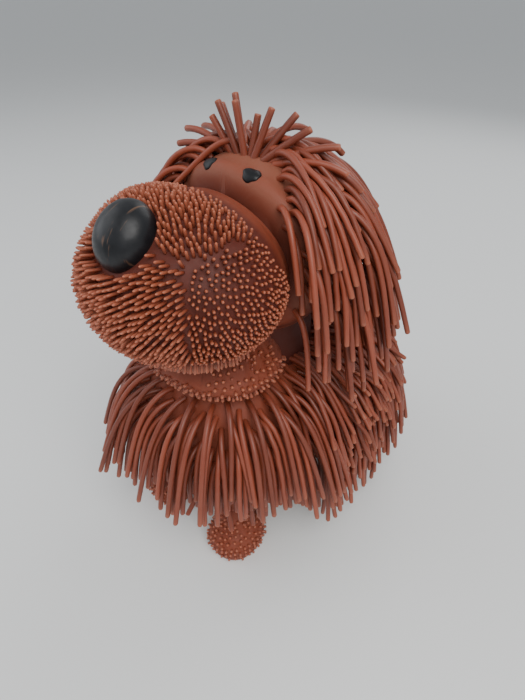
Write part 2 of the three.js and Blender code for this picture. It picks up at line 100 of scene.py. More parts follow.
# colours and finishes
rubber = {
    "skin": (0.205, 0.044, 0.021), "worn": (0.250, 0.068, 0.037), "shade": (0.075, 0.013, 0.008),
    # tip: painted light, as if light shone through the thin tips
    "dust": (0.250, 0.090, 0.055), "tip": (0.37, 0.110, 0.056),
    "tint": [(0.0, (0.72, 0.66, 0.62)), (1.0, (1.28, 1.22, 1.18))],   # from strand to strand
    "roughness": (0.38, 0.56), "bareDuller": 0.14, "gloss": 0.5, "bareGloss": 0.3,
    "scatter": 0.18, "scatterDepth": 0.0022, "scatterColour": (1.0, 0.32, 0.2), "grain": 2600.0,
}


def shaderTree(name):
    material = bpy.data.materials.new(name)
    material.use_nodes = True
    nodes, links = material.node_tree.nodes, material.node_tree.links
    return material, nodes, links, nodes["Principled BSDF"]


def noise(nodes, links, scale, detail=3.0):
    place = nodes.new("ShaderNodeTexCoord")
    texture = nodes.new("ShaderNodeTexNoise")
    texture.inputs["Scale"].default_value = scale
    texture.inputs["Detail"].default_value = detail
    texture.inputs["Roughness"].default_value = 0.55
    links.new(place.outputs["Object"], texture.inputs["Vector"])
    return texture.outputs["Fac"]


def ramp(nodes, links, source, stops):
    curve = nodes.new("ShaderNodeValToRGB")
    while len(curve.color_ramp.elements) < len(stops):
        curve.color_ramp.elements.new(0.5)
    for element, (place, colour) in zip(curve.color_ramp.elements, stops):
        element.position = place
        element.color = (*colour, 1)
    links.new(source, curve.inputs["Fac"])
    return curve.outputs["Color"]


def mix(nodes, links, factor, first, second, blend="MIX"):
    node = nodes.new("ShaderNodeMix")
    node.data_type = "RGBA"
    node.blend_type = blend
    for socket, value in ((node.inputs[0], factor), (node.inputs[6], first), (node.inputs[7], second)):
        if isinstance(value, (float, int)):
            socket.default_value = value
        elif isinstance(value, tuple):
            socket.default_value = (*value, 1)
        else:
            links.new(value, socket)
    return node.outputs[2]


def attribute(nodes, name):
    node = nodes.new("ShaderNodeAttribute")
    node.attribute_name = name
    return node.outputs["Fac"]


def bump(nodes, links, shader, height, strength, distance):
    node = nodes.new("ShaderNodeBump")
    node.inputs["Strength"].default_value = strength
    node.inputs["Distance"].default_value = distance
    links.new(height, node.inputs["Height"])
    links.new(node.outputs["Normal"], shader.inputs["Normal"])


def roughen(nodes, links, shader, scale, low, high, full):
    # roughness that drifts from low to high
    rough = ramp(nodes, links, noise(nodes, links, scale), [(0.3, (low,) * 3), (full, (high,) * 3)])
    links.new(rough, shader.inputs["Roughness"])


def softRubber(name, useTips=False, useTint=False, useSkin=False):
    # dyed soft rubber: mottled, satin, paler in worn patches, and painted paler at the thin tips as if light
    # shone through them
    material, nodes, links, shader = shaderTree(name)
    patches = ramp(nodes, links, noise(nodes, links, 55), [(0.36, rubber["skin"]), (0.72, rubber["worn"])])
    colour = mix(nodes, links, 0.35, rubber["skin"], patches)
    if useSkin:   # the bare skin: crease darker, brow dusty
        colour = mix(nodes, links, attribute(nodes, "dust"), colour, rubber["dust"])
        # painted shade: darkened towards the shade colour where the crease, the mouth, the spikes and the neck
        # keep the light out
        colour = mix(nodes, links, attribute(nodes, "paintedShade"), colour, rubber["shade"])
    if useTint:
        tint = ramp(nodes, links, attribute(nodes, "tint"), rubber["tint"])
        colour = mix(nodes, links, 1.0, colour, tint, "MULTIPLY")
    if useTips:
        # painted light: the thin tips lightened as if light shone through them
        colour = mix(nodes, links, attribute(nodes, "tip"), colour, rubber["tip"])
    links.new(colour, shader.inputs["Base Color"])
    duller = rubber["bareDuller"] if useSkin else 0.0
    low, high = rubber["roughness"]
    roughen(nodes, links, shader, 190, low + duller, high + duller, 0.75)
    shader.inputs["Subsurface Weight"].default_value = rubber["scatter"]
    shader.inputs["Subsurface Radius"].default_value = rubber["scatterColour"]
    shader.inputs["Subsurface Scale"].default_value = rubber["scatterDepth"]
    shader.inputs["Specular IOR Level"].default_value = rubber["bareGloss"] if useSkin else rubber["gloss"]
    bump(nodes, links, shader, noise(nodes, links, rubber["grain"], 2.0), 0.12, 0.00015)
    return material


skinRubber = softRubber("bare rubber skin", useSkin=True)
spikeRubber = softRubber("spiky rubber", useTips=True)
strandRubber = softRubber("strand rubber", useTips=True, useTint=True)


# mesh helpers
def floatLayer(mesh, label, values):
    layer = mesh.attributes.new(label, "FLOAT", "POINT")
    layer.data.foreach_set("value", np.asarray(values, dtype=np.float32))


def newObject(name, data):
    thing = bpy.data.objects.new(name, data)
    bpy.context.scene.collection.objects.link(thing)
    return thing


def meshPiece(name, verts, faces, material, body, attributes=()):
    mesh = bpy.data.meshes.new(name)
    mesh.from_pydata([tuple(v * mm) for v in np.asarray(verts)], [], faces)
    for label, values in attributes:
        floatLayer(mesh, label, values)
    mesh.materials.append(material)
    mesh.validate()
    mesh.update()
    for polygon in mesh.polygons:
        polygon.use_smooth = True
    piece = newObject(name, mesh)
    if body:
        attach(piece, body)
    return piece


def ballDirections(around, down):
    # directions over a sphere, ring by ring from the top, with single points at the poles
    tilt = np.linspace(0, math.pi, down + 1)[1:-1]
    turn = np.linspace(0, 2 * math.pi, around, endpoint=False)
    tilt, turn = np.meshgrid(tilt, turn, indexing="ij")
    rings = np.stack([np.sin(tilt) * np.cos(turn), np.sin(tilt) * np.sin(turn), np.cos(tilt)], -1)
    return np.vstack([[(0, 0, 1)], rings.reshape(-1, 3), [(0, 0, -1)]])


def ballFaces(around, down):
    faces = []
    last = 1 + around * (down - 1)
    for column in range(around):
        across = (column + 1) % around
        faces.append((0, 1 + column, 1 + across))
        for row in range(down - 2):
            first = 1 + row * around
            faces.append((first + column, first + around + column, first + around + across, first + across))
        low = last - around
        faces.append((low + column, last, low + across))
    return faces


def castOut(centre, directions, field, reach=95.0, steps=70):
    # the outermost place where each ray leaves the field
    least, halvings = 2.0, 14
    distances = np.linspace(reach, least, steps)
    centre = np.array(centre, dtype=float)
    outer = np.full(len(directions), reach)
    inner = np.full(len(directions), least)
    found = np.zeros(len(directions), dtype=bool)
    for near, away in zip(distances[1:], distances[:-1]):
        inside = field(centre + directions * near) < 0
        new = inside & ~found
        inner[new], outer[new] = near, away
        found |= inside
    for _ in range(halvings):
        middle = (inner + outer) / 2
        inside = field(centre + directions * middle[:, None]) < 0
        inner = np.where(inside, middle, inner)
        outer = np.where(inside, outer, middle)
    return centre + directions * ((inner + outer) / 2)[:, None]


# head skin: muzzle ball, brow and lower lip in one soft moulding
head = {
    "around": 300, "down": 200, "browSoft": 1.2, "lipSoft": 2.0,
    "creaseWidth": 2.1, "creaseDepth": 6.5, "creasePast": 4.2,   # past the joint with the muzzle
    "ridge": 1.5, "ridgePast": 9.6, "ridgeWidth": 3.4,
}
headFaces = ballFaces(head["around"], head["down"])


def headGaps(points):
    return [gap(points, shapes[part])[0] for part in ("muzzle", "cranium", "jaw")]


def headField(points):
    muzzle, cranium, jaw = headGaps(points)
    whole = softJoin(muzzle, cranium, head["browSoft"])
    past = muzzle - cranium   # how far past the joint with the muzzle, on the brow side
    crease = np.exp(-((past - head["creasePast"]) / head["creaseWidth"]) ** 2)
    ridge = np.exp(-((past - head["ridgePast"]) / head["ridgeWidth"]) ** 2)
    high = np.clip((points[:, 2] - muzzleZ + 26) / 12, 0, 1)
    whole = whole + (head["creaseDepth"] * crease - head["ridge"] * ridge) * high
    return softJoin(whole, jaw, head["lipSoft"])


def makeHeadSkin():
    # one closed skin over the whole head, shaded where folds and spikes keep the light out
    centre = (0, headMiddle - 14, muzzleZ - 6)
    verts = castOut(centre, ballDirections(head["around"], head["down"]), headField)
    muzzle, cranium, jaw = headGaps(verts)
    high = verts[:, 2] > muzzleZ - 14
    # painted shade along the crease under the brow
    paintedShade = np.exp(-((muzzle - cranium - head["creasePast"]) / 2.0) ** 2) * high
    mouth = np.exp(-((muzzle - jaw) / 3.0) ** 2) * (verts[:, 2] < muzzleZ - 20)
    # between the spikes and inside the mouth little light gets in
    under = 0.85 * (np.abs(muzzle) < 1.5) * np.clip((cranium - 4) / 4, 0, 1)
    under += 0.5 * (np.abs(jaw) < 1.0) * np.clip((verts[:, 2] - jawZ - 2) / 4, 0, 1)
    dust = np.clip(1 - np.abs(cranium) / 2.4, 0, 1) * np.clip((muzzle - 2.5) / 3, 0, 1) * high * 0.8
    # painted shade: the crease, the mouth line and the skin between the spikes are darkened in the colour
    dark = np.clip(paintedShade * 0.9 + mouth * 0.7 + under, 0, 1)
    layers = [("paintedShade", dark), ("dust", dust)]
    piece = meshPiece("head_rubber", verts, headFaces, skinRubber, "head", attributes=layers)
    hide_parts("head_skin")
    return verts


headVerts = makeHeadSkin()
print("head skin made")

# nose and eyes, painted rubber
nose = {
    "centre": (0, headLow[1] + 17.0, headHigh[2] - 17.0), "radii": (11.4, 9.5, 13.0), "lean": 38.0,
    "around": 72, "down": 48, "mouldLine": 0.012, "bareRadii": (14.2, 11.5, 15.2),   # no spikes inside these
}
eyes = {
    "across": 11.0, "wide": 3.7, "high": 3.2, "proud": 0.6, "domed": 0.15, "y": headLow[1] + 68.0,
    "around": 40, "rings": 10, "squareness": 2.6,
}
blackGloss = {
    "mottle": [(0.3, (0.007, 0.0075, 0.009)), (0.8, (0.016, 0.017, 0.020))], "rub": (0.10, 0.055, 0.035),
    "scratchTurn": (0.3, 0.9, 0.5), "scratchScale": (900, 60, 120), "roughness": (0.30, 0.46), "gloss": 0.32,
}


def blackPaint(name, worn):
    material, nodes, links, shader = shaderTree(name)
    colour = ramp(nodes, links, noise(nodes, links, 150), blackGloss["mottle"])
    if worn:   # the brown shows through along rubs and scratches
        place = nodes.new("ShaderNodeTexCoord")
        mapping = nodes.new("ShaderNodeMapping")
        mapping.inputs["Rotation"].default_value = blackGloss["scratchTurn"]
        mapping.inputs["Scale"].default_value = blackGloss["scratchScale"]
        texture = nodes.new("ShaderNodeTexNoise")
        texture.inputs["Scale"].default_value = 1.0
        links.new(place.outputs["Object"], mapping.inputs["Vector"])
        links.new(mapping.outputs["Vector"], texture.inputs["Vector"])
        rubs = ramp(nodes, links, texture.outputs["Fac"], [(0.62, (0, 0, 0)), (0.70, (1, 1, 1))])
        colour = mix(nodes, links, rubs, colour, blackGloss["rub"])
    links.new(colour, shader.inputs["Base Color"])
    roughen(nodes, links, shader, 320, *blackGloss["roughness"], 0.8)
    shader.inputs["Specular IOR Level"].default_value = blackGloss["gloss"]
    bump(nodes, links, shader, noise(nodes, links, 900, 4.0), 0.15, 0.0002)
    return material


def makeNose():
    verts = ballDirections(nose["around"], nose["down"]) * np.array(nose["radii"])
    # a low mould line runs over the dome
    across = verts[:, 0] * 0.8 + verts[:, 2] * 0.35
    verts *= (1 + nose["mouldLine"] * np.exp(-(across / 0.45) ** 2))[:, None]
    turn = np.array(Matrix.Rotation(-math.radians(nose["lean"]), 3, "X"))
    verts = verts @ turn.T + np.array(nose["centre"])
    faces = ballFaces(nose["around"], nose["down"])
    piece = meshPiece("nose", verts, faces, blackPaint("worn black paint", True), "head")


def craniumTop(x, y):
    # height of the cranium's upper side
    centre, radii = shapes["cranium"]["centre"], shapes["cranium"]["radii"]
    return centre[2] + radii[2] * math.sqrt(1 - (x / radii[0]) ** 2 - ((y - centre[1]) / radii[1]) ** 2)


def seat(points, out):
    # slides points along their way out until they lie on the head skin
    for _ in range(6):
        points = points - out * headField(points)[:, None]
    return points


def makeEye(name, side):
    # a blunt, slightly ragged dot of paint, domed and laid on the brow
    square = eyes["squareness"]
    turn = np.linspace(0, 2 * math.pi, eyes["around"], endpoint=False)
    blocky = (np.abs(np.cos(turn)) ** square + np.abs(np.sin(turn)) ** square) ** (-1 / square)
    ragged = blocky * (1 + 0.05 * np.sin(3 * turn + side) + 0.03 * np.sin(7 * turn + 2 * side))
    cranium = shapes["cranium"]
    middle = np.array([side * eyes["across"], eyes["y"], craniumTop(side * eyes["across"], eyes["y"])])
    out = gap(middle[None], cranium)[1][0]
    middle = seat(middle[None], out[None])[0]
    across = np.cross(np.array([0, 0, 1.0]), out)
    across /= np.linalg.norm(across)
    up = np.cross(out, across)
    verts = [middle + out * (eyes["proud"] + eyes["domed"])]
    for ring in range(1, eyes["rings"] + 1):
        part = ring / eyes["rings"]
        height = eyes["proud"] * math.sqrt(max(0.0, 1 - part ** 4)) + eyes["domed"] * (1 - part)
        flat = across * (np.cos(turn) * eyes["wide"])[:, None] + up * (np.sin(turn) * eyes["high"])[:, None]
        ringPoints = middle + flat * (part * ragged)[:, None]
        ringOut = gap(ringPoints, cranium)[1]
        verts.extend(seat(ringPoints, ringOut) + ringOut * (height - 0.05))
    verts.append(middle - out * 1.2)
    faces = ballFaces(eyes["around"], eyes["rings"] + 1)
    piece = meshPiece(name, np.array(verts), faces, blackPaint(f"gloss black {name}", False), "head")


makeNose()
makeEye("eye_left", 1)
makeEye("eye_right", -1)
print("nose and eyes made")


# spikes: a Geometry Nodes tree scatters them over a carrier mesh
def nodeTree(name, inputs):
    tree = bpy.data.node_groups.new(name, "GeometryNodeTree")
    tree.interface.new_socket("Geometry", in_out="INPUT", socket_type="NodeSocketGeometry")
    for label, kind, value in inputs:
        socket = tree.interface.new_socket(label, in_out="INPUT", socket_type=kind)
        if value is not None:
            socket.default_value = value
    tree.interface.new_socket("Geometry", in_out="OUTPUT", socket_type="NodeSocketGeometry")
    tree.nodes.new("NodeGroupInput")
    tree.nodes.new("NodeGroupOutput")
    return tree, tree.nodes["Group Input"], tree.nodes["Group Output"]


def readAttribute(tree, name, kind="FLOAT"):
    node = tree.nodes.new("GeometryNodeInputNamedAttribute")
    node.data_type = kind
    node.inputs["Name"].default_value = name
    return node.outputs["Attribute"]


def mathNode(tree, operation, first, second):
    node = tree.nodes.new("ShaderNodeMath")
    node.operation = operation
    for socket, value in zip(node.inputs, (first, second)):
        if isinstance(value, float):
            socket.default_value = value
        else:
            tree.links.new(value, socket)
    return node.outputs[0]


def endTree(tree, start, end, geometry):
    # the last two nodes: instances made real, then painted
    real = tree.nodes.new("GeometryNodeRealizeInstances")
    paint = tree.nodes.new("GeometryNodeSetMaterial")
    tree.links.new(geometry, real.inputs["Geometry"])
    tree.links.new(real.outputs["Geometry"], paint.inputs["Geometry"])
    tree.links.new(start.outputs["Material"], paint.inputs["Material"])
    tree.links.new(paint.outputs["Geometry"], end.inputs["Geometry"])
    return tree


def spikeTree():
    tree, start, end = nodeTree("spikes on a skin", [
        ("Spacing", "NodeSocketFloat", 0.0024), ("Radius", "NodeSocketFloat", 0.0006),
        ("Seed", "NodeSocketInt", 3), ("Unevenness", "NodeSocketFloat", 0.08),
        ("Spike", "NodeSocketObject", None), ("Material", "NodeSocketMaterial", None)])
    link = tree.links.new
    scatter = tree.nodes.new("GeometryNodeDistributePointsOnFaces")
    scatter.distribute_method = "POISSON"
    scatter.inputs["Density Max"].default_value = 1.0e6
    link(start.outputs["Geometry"], scatter.inputs["Mesh"])
    link(start.outputs["Spacing"], scatter.inputs["Distance Min"])
    link(start.outputs["Seed"], scatter.inputs["Seed"])
    link(readAttribute(tree, "cover"), scatter.inputs["Density Factor"])
    turn = tree.nodes.new("FunctionNodeAlignRotationToVector")
    turn.axis = "Z"
    link(readAttribute(tree, "lean", "FLOAT_VECTOR"), turn.inputs["Vector"])
    vary = tree.nodes.new("FunctionNodeRandomValue")
    link(start.outputs["Seed"], vary.inputs["Seed"])
    link(mathNode(tree, "SUBTRACT", 1.0, start.outputs["Unevenness"]), vary.inputs[2])
    link(mathNode(tree, "ADD", 1.0, start.outputs["Unevenness"]), vary.inputs[3])
    size = tree.nodes.new("ShaderNodeCombineXYZ")
    link(start.outputs["Radius"], size.inputs["X"])
    link(start.outputs["Radius"], size.inputs["Y"])
    link(mathNode(tree, "MULTIPLY", readAttribute(tree, "reach"), vary.outputs[1]), size.inputs["Z"])
    shape = tree.nodes.new("GeometryNodeObjectInfo")
    link(start.outputs["Spike"], shape.inputs["Object"])
    place = tree.nodes.new("GeometryNodeInstanceOnPoints")
    link(scatter.outputs["Points"], place.inputs["Points"])
    link(shape.outputs["Geometry"], place.inputs["Instance"])
    link(turn.outputs["Rotation"], place.inputs["Rotation"])
    link(size.outputs["Vector"], place.inputs["Scale"])
    return endTree(tree, start, end, place.outputs["Instances"])


def runTree(carrier, tree, values, name):
    # the tree's result as a plain mesh object; the carrier goes away
    modifier = carrier.modifiers.new("tree", "NODES")
    modifier.node_group = tree
    for item in tree.interface.items_tree:
        if item.in_out == "INPUT" and item.name in values:
            modifier[item.identifier] = values[item.name]
    carrier.update_tag()
    bpy.context.view_layer.update()
    graph = bpy.context.evaluated_depsgraph_get()
    mesh = bpy.data.meshes.new_from_object(carrier.evaluated_get(graph), depsgraph=graph)
    carrier.modifiers.remove(modifier)
    mesh.name = name
    for polygon in mesh.polygons:
        polygon.use_smooth = True
    piece = newObject(name, mesh)
    bpy.data.objects.remove(carrier, do_unlink=True)
    return piece


def spikeShape():
    # one unit-high spike, round at its tip
    rings = [(-0.10, 1.15), (0.15, 1.0), (0.88, 0.90), (0.99, 0.45)]
    sides = 6
    verts = [(r * math.cos(a), r * math.sin(a), z) for z, r in rings
             for a in (2 * math.pi * k / sides for k in range(sides))]
    verts.append((0, 0, 1.02))
    faces = []
    for ring in range(len(rings) - 1):
        for k in range(sides):
            n = (k + 1) % sides
            a = ring * sides
            faces.append((a + k, a + n, a + sides + n, a + sides + k))
    top = (len(rings) - 1) * sides
    faces += [(top + k, top + (k + 1) % sides, len(verts) - 1) for k in range(sides)]
    faces.append(tuple(range(sides))[::-1])
    mesh = bpy.data.meshes.new("spike")
    mesh.from_pydata(verts, [], faces)
    # painted light: the top of each spike lightened as if lit through
    floatLayer(mesh, "tip", np.clip((np.array(verts)[:, 2] - 0.55) / 0.4, 0, 1))
    return newObject("spike", mesh)


spikes = {
    "spacing": 1.78, "radius": 0.64, "seed": 3, "seam": 0.03, "frontShare": 1.05, "lowest": -30.5,
    # by zone, front, side, top and under: length, pull of the mould, and the parts of a lean
    "length": (6.0, 2.5, 4.4, 5.2),
    "pull": ((0, -1, 0), (0.66, -0.5, 0.42), (0, -0.25, 1), (0, -0.2, -1)),
    "outShare": (0.55, 0.34, 0.55, 0.55), "pullShare": (0.6, 0.85, 0.6, 0.6),
}
lipBumps = {"spacing": 2.7, "radius": 0.78, "seed": 5, "length": 2.0, "cornerFrom": 21}
oneSpike = spikeShape()
spikesOnSkin = spikeTree()


def spikyCoat(name, body, style, verts, faces, cover, lean, reach):
    # spikes on the part of a skin that cover marks, each as long as reach says
    carrier = meshPiece(name + " carrier", verts, faces, spikeRubber, None,
                        attributes=[("cover", cover), ("reach", np.asarray(reach) * mm)])
    layer = carrier.data.attributes.new("lean", "FLOAT_VECTOR", "POINT")
    layer.data.foreach_set("vector", np.asarray(lean, dtype=np.float32).ravel())
    values = {
        "Spacing": style["spacing"] * mm, "Radius": style["radius"] * mm, "Seed": style["seed"],
        "Spike": oneSpike, "Material": spikeRubber,
    }
    piece = runTree(carrier, spikesOnSkin, values, name)
    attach(piece, body)
    print(name, len(piece.data.polygons), "faces")


def makeMuzzleSpikes():
    # long spikes in zones with bare seams between them, shorter towards the brow
    verts = headVerts
    muzzle, cranium, jaw = headGaps(verts)
    out = gap(verts, shapes["muzzle"])[1]
    way = (verts - np.array(shapes["muzzle"]["centre"])) / np.array(shapes["muzzle"]["radii"])
    way /= np.linalg.norm(way, axis=1, keepdims=True)
    # the mould opens forwards, sideways, upwards and downwards, and its spikes lean the same way
    zones = np.stack([-way[:, 1] * spikes["frontShare"], np.abs(way[:, 0]), way[:, 2], -way[:, 2]], 1)
    order = np.sort(zones, axis=1)
    lead = order[:, 3] - order[:, 2]
    zone = zones.argmax(1)
    pulls = np.array(spikes["pull"], dtype=float)[zone]
    pulls[:, 0] *= np.sign(way[:, 0])
    outShare, pullShare = (np.array(spikes[part])[zone][:, None] for part in ("outShare", "pullShare"))
    lean = out * outShare + pulls * pullShare
    lean /= np.linalg.norm(lean, axis=1, keepdims=True)
    fade = np.clip(lead / 0.5, 0, 1)
    reach = np.array(spikes["length"])[zone]
    reach = reach * (1 - 0.25 * (zone == 0) * (1 - fade)) + (zone == 1) * 1.6 * (1 - fade)
    noseGap = gap(verts, {"centre": nose["centre"], "radii": nose["bareRadii"], "power": 2})[0]
    bare = 1.6 + 8.4 * np.clip((verts[:, 2] - muzzleZ + 2) / 16, 0, 1)
    reach = reach * np.clip(0.45 + (cranium - bare) / 16, 0, 1)
    offSeam = lead / spikes["seam"] > 0.5
    cover = (np.abs(muzzle) < 1.2) * (cranium > bare) * (jaw > 4.6) * (noseGap > 0) * offSeam
    cover = cover * (verts[:, 2] > muzzleZ + spikes["lowest"])
    spikyCoat("muzzle_spikes", "head", spikes, verts, headFaces, cover.astype(float), lean, reach)


def makeLipBumps():
    # rows of tiny bumps on the lower lip and at the corners of the mouth
    verts = headVerts
    jaw, out = gap(verts, shapes["jaw"])
    muzzle = gap(verts, shapes["muzzle"])[0]
    lip = (np.abs(jaw) < 0.9) * (muzzle > 3.4) * (verts[:, 2] < jawZ + 1.0)
    corner = (np.abs(jaw) < 0.9) * (muzzle > 2.6) * (np.abs(verts[:, 0]) > lipBumps["cornerFrom"])
    corner = corner * (verts[:, 1] < shapes["jaw"]["centre"][1] + 12)
    cover = np.maximum(lip, corner) * (verts[:, 2] > jawZ - 7)
    reach = np.full(len(verts), lipBumps["length"])
    spikyCoat("lip_bumps", "head", lipBumps, verts, headFaces, cover.astype(float), out, reach)


makeMuzzleSpikes()
makeLipBumps()


# body skin under the strands
body = {"around": 120, "down": 90, "hem": casingLow[2] + 3.0, "thick": 1.6, "straight": 62.0, "soft": 6.0}


def bodyField(points):
    # straight walls below the shoulder
    points = np.concatenate([points[:, :2], np.maximum(points[:, 2:], body["straight"])], 1)
    return softJoin(gap(points, shapes["chest"])[0], gap(points, shapes["rump"])[0], body["soft"])


def makeBodySkin():
    centre = (0, (casingLow[1] + casingHigh[1]) / 2, 66)
    verts = castOut(centre, ballDirections(body["around"], body["down"]), bodyField)
    verts[:, 2] = np.maximum(verts[:, 2], body["hem"])
    faces = ballFaces(body["around"], body["down"])
    faces = [f for f in faces if max(verts[i][2] for i in f) > body["hem"] + 0.01]   # open at the hem
    used = sorted({i for f in faces for i in f})
    index = {old: new for new, old in enumerate(used)}
    faces = [tuple(index[i] for i in f) for f in faces]
    piece = meshPiece("body_rubber", verts[used], faces, skinRubber, None)
    shell = piece.modifiers.new("wall", "SOLIDIFY")
    shell.thickness = body["thick"] * mm
    shell.offset = -1
    graph = bpy.context.evaluated_depsgraph_get()
    walled = bpy.data.meshes.new_from_object(piece.evaluated_get(graph))
    piece.modifiers.clear()
    piece.data = walled
    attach(piece, "chassis")
    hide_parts("body_coat")
    return verts


sleeve = {
    "low": 90.0, "high": 142.0, "wide": 28.0, "deep": 38.0, "y": -9.0, "waist": 0.03, "taper": 0.2,
    "around": 72, "rings": 26, "inner": 0.95,
}


def makeNeckSkin():
    # a soft sleeve that joins the head to the body
    around, rings = sleeve["around"], sleeve["rings"]
    turn = np.linspace(0, 2 * math.pi, around, endpoint=False)
    verts = []
    for ring in range(rings):
        part = ring / (rings - 1)
        z = sleeve["low"] + (sleeve["high"] - sleeve["low"]) * part
        waist = 1 - sleeve["waist"] * math.sin(math.pi * part) - sleeve["taper"] * part
        x = np.cos(turn) * sleeve["wide"] * waist
        y = sleeve["y"] + 3 * part + np.sin(turn) * sleeve["deep"] * waist
        verts.append(np.stack([x, y, np.full(around, z)], 1))
    outer = np.vstack(verts)
    middle = (0, sleeve["y"], 0)
    inner = (outer - middle) * (sleeve["inner"], sleeve["inner"], 1) + middle
    faces = []
    last = (rings - 1) * around
    for column in range(around):
        across = (column + 1) % around
        for ring in range(rings - 1):
            a = ring * around
            faces.append((a + column, a + across, a + around + across, a + around + column))
            faces.append(tuple(len(outer) + i for i in faces[-1][::-1]))
        faces.append((across, column, len(outer) + column, len(outer) + across))
        faces.append((last + column, last + across, len(outer) + last + across, len(outer) + last + column))
    # the whole sleeve is painted in shade, as it lies under the head
    piece = meshPiece("neck_rubber", np.vstack([outer, inner]), faces, skinRubber, None,
                      attributes=[("paintedShade", np.full(2 * len(outer), 0.9))])
    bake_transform(piece)


bodyVerts = makeBodySkin()
makeNeckSkin()
print("body skin made")


# strands: roots on the skin, then a settling run under gravity
strand = {
    "nodes": 14, "thick": 2.6, "rings": 26, "sides": 7, "crownThick": 3.0, "seed": 11,
    "droop": 1.3e8, "stiffest": 0.20, "gravity": 9810.0, "drag": 0.985, "rootStiff": 2,
    "step": 0.0008, "settle": 600, "quickSettle": 150, "topSpeed": 900,
    # strands are pushed off each other every few steps
    "pushEvery": 3, "lookEvery": 12, "lookFurther": 1.6, "hold": 0.45, "topPush": 0.5,
}


def scatterRoots(points, allowed, spacing, rng):
    # seeded dart throwing: roots at least one spacing apart
    pool = np.flatnonzero(allowed)
    rng.shuffle(pool)
    alive = np.ones(len(pool), dtype=bool)
    places = points[pool]
    chosen = []
    for index in range(len(pool)):
        if alive[index]:
            chosen.append(pool[index])
            alive &= ((places - places[index]) ** 2).sum(1) > spacing[pool[index]] ** 2
    return np.array(chosen)


def nearPairs(points, reach):
    # pairs of points closer than reach, found through a grid of cells
    cell = np.floor((points - points.min(0)) / reach).astype(np.int64) + 1
    size = cell.max(0) + 2
    key = (cell[:, 0] * size[1] + cell[:, 1]) * size[2] + cell[:, 2]
    order = np.argsort(key, kind="stable")
    ranked = key[order]
    pairs = []
    steps = [(x, y, z) for x in (-1, 0, 1) for y in (-1, 0, 1) for z in (-1, 0, 1) if (x, y, z) >= (0, 0, 0)]
    for x, y, z in steps:
        other = ranked + (x * size[1] + y) * size[2] + z
        first = np.searchsorted(ranked, other, "left")
        last = np.searchsorted(ranked, other, "right")
        count = last - first
        a = np.repeat(np.arange(len(points)), count)
        b = np.arange(count.sum()) - np.repeat(np.cumsum(count) - count, count) + np.repeat(first, count)
        a, b = order[a], order[b]
        if (x, y, z) == (0, 0, 0):
            keep = a < b
            a, b = a[keep], b[keep]
        close = ((points[a] - points[b]) ** 2).sum(1) < reach * reach
        pairs.append(np.stack([a[close], b[close]]))
    return np.concatenate(pairs, 1)


def pushApart(spots, pairs, width):
    # moves each overlapping pair of spots apart, half each
    between = spots[pairs[1]] - spots[pairs[0]]
    distance = np.sqrt((between ** 2).sum(1)) + 1e-9
    short = np.clip(width - distance, 0, None)
    hit = short > 0
    move = between[hit] * (short[hit] / distance[hit] * 0.5)[:, None]
    total = len(spots)
    shift = np.zeros_like(spots)
    for axis in range(3):
        shift[:, axis] += np.bincount(pairs[1][hit], move[:, axis], total)
        shift[:, axis] -= np.bincount(pairs[0][hit], move[:, axis], total)
    return shift


def keepOut(points, margin, solids):
    for shape in solids:
        distance, out = gap(points, shape)
        deep = np.clip(margin - distance, 0, None)
        points += out * deep[..., None]
    points[..., 2] = np.maximum(points[..., 2], margin + 0.3)
    return points


turningJaw = {**shapes["jaw"], "radii": (39, 33, 14)}   # room for the lip bumps as the head turns
spikyMuzzle = {**shapes["muzzle"], "radii": (44.5, 42.5, 37)}   # out to the tips of its spikes
legRoom = {"centre": (0, (casingLow[1] + casingHigh[1]) / 2 - 2, 14), "radii": (41, 73, 30), "power": 4.0}
strandSolids = [spikyMuzzle, shapes["cranium"], turningJaw, shapes["chest"], shapes["rump"], legRoom]


def keepLengths(places, link):
    # pulls the links back to their length, every other one at a time
    for odd in (0, 1):
        a, b = places[:, odd:-1:2], places[:, odd + 1::2]
        span = b - a
        far = np.sqrt((span ** 2).sum(-1, keepdims=True)) + 1e-9
        fix = span * ((far - link[..., None]) / far) * 0.5
        places[:, odd:-1:2] += fix
        places[:, odd + 1::2] -= fix


def strandPairs(spots, owner, order):
    # spots that may soon touch, apart from neighbours on one strand and two roots
    pairs = nearPairs(spots, strand["thick"] + strand["lookFurther"])
    own = owner[pairs[0]] == owner[pairs[1]]
    near = np.abs(order[pairs[0]] - order[pairs[1]]) < 5
    rooted = (order[pairs[0]] < 2) & (order[pairs[1]] < 2)
    return pairs[:, ~(own & near) & ~rooted]


